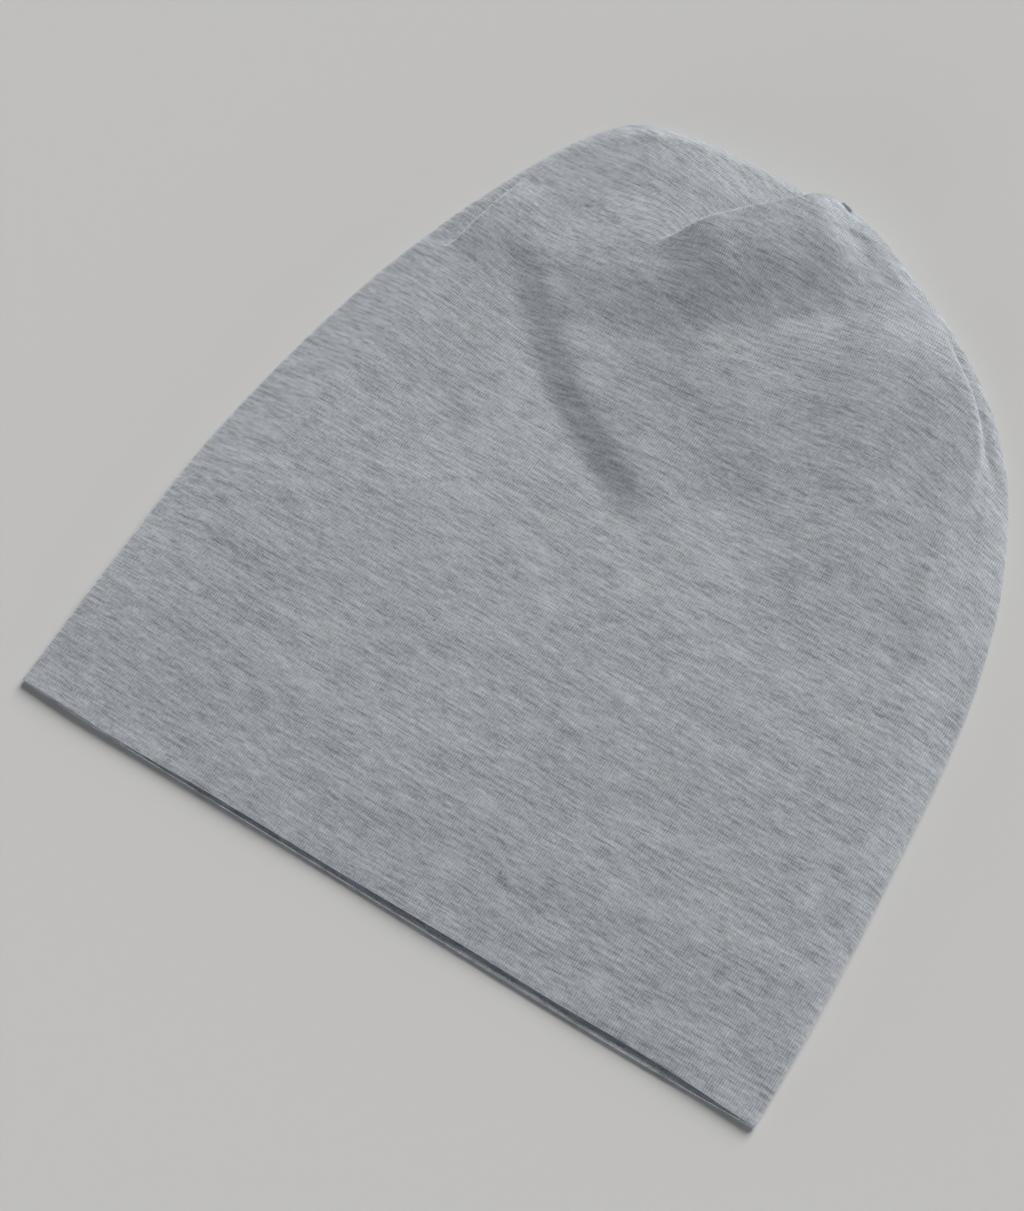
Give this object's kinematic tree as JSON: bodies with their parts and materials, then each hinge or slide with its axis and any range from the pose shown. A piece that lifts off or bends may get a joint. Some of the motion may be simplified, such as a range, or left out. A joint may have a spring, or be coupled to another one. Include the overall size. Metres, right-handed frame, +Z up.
{
  "type": "slouchy beanie",
  "caption": "Soft slouchy beanie of double jersey lying flat: an open hem, folded sides and a slumped, darted crown.",
  "frame": {"origin": "centre of the hat's footprint, on the surface that it lies on", "axes": "+Z up from that surface, +Y from the open hem to the crown's tip, +X along the hem to the right as seen from above with the crown away from the viewer"},
  "size_m": [0.242, 0.266, 0.0183],
  "materials": {
    "heathered_jersey": "matt light grey heathered cotton jersey, with fine ribs of stitches up the hat and short darker streaks across it"
  },
  "bodies": {
    "root": {"beanie_body": "heathered_jersey"}
  },
  "joints": []
}
